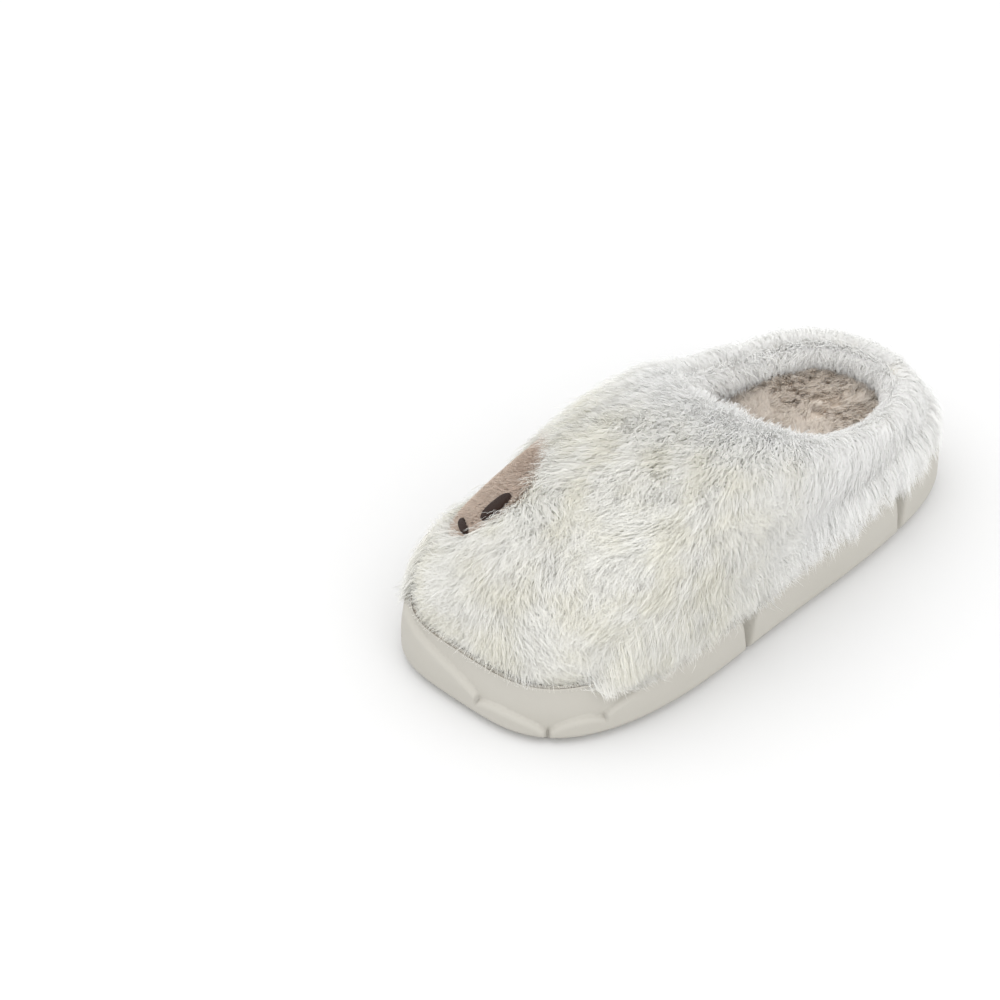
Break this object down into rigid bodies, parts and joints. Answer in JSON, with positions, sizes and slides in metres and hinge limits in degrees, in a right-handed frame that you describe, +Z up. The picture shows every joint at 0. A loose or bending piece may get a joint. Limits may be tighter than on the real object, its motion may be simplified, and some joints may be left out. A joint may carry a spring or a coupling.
{
  "type": "fluffy house slipper",
  "caption": "Plush slip-on house slipper with long ivory fur over a closed toe and low heel, a brown sherpa footbed, and a thick moulded foam sole.",
  "frame": {"origin": "on the ground under the middle of the sole's length and width", "axes": "the toe points to -Y, +X is the wearer's left, +Z is up from the floor"},
  "size_m": [0.1206, 0.265, 0.0827],
  "materials": {
    "sole_foam": "matte moulded EVA foam, warm off-white",
    "long_fur": "long ivory-white faux fur",
    "sherpa_fleece": "curly taupe-brown sherpa fleece",
    "padding_foam": "soft cream padding foam",
    "insole_board": "stiffened non-woven board",
    "short_plush": "short-pile beige-pink plush",
    "dark_thread": "dark brown satin-stitched embroidery"
  },
  "bodies": {
    "root": {"unit_sole": "sole_foam", "strobel_sock": "insole_board", "footbed_foam": "padding_foam", "sherpa_insock": "sherpa_fleece", "vamp_fur": "long_fur", "heel_fur": "long_fur", "toe_puff": "insole_board", "heel_counter": "insole_board", "vamp_foam": "padding_foam", "heel_foam": "padding_foam", "vamp_lining": "sherpa_fleece", "heel_lining": "sherpa_fleece", "topline_tape": "insole_board", "plush_patch": "short_plush", "patch_mark_long": "dark_thread", "patch_mark_short": "dark_thread"}
  },
  "joints": []
}
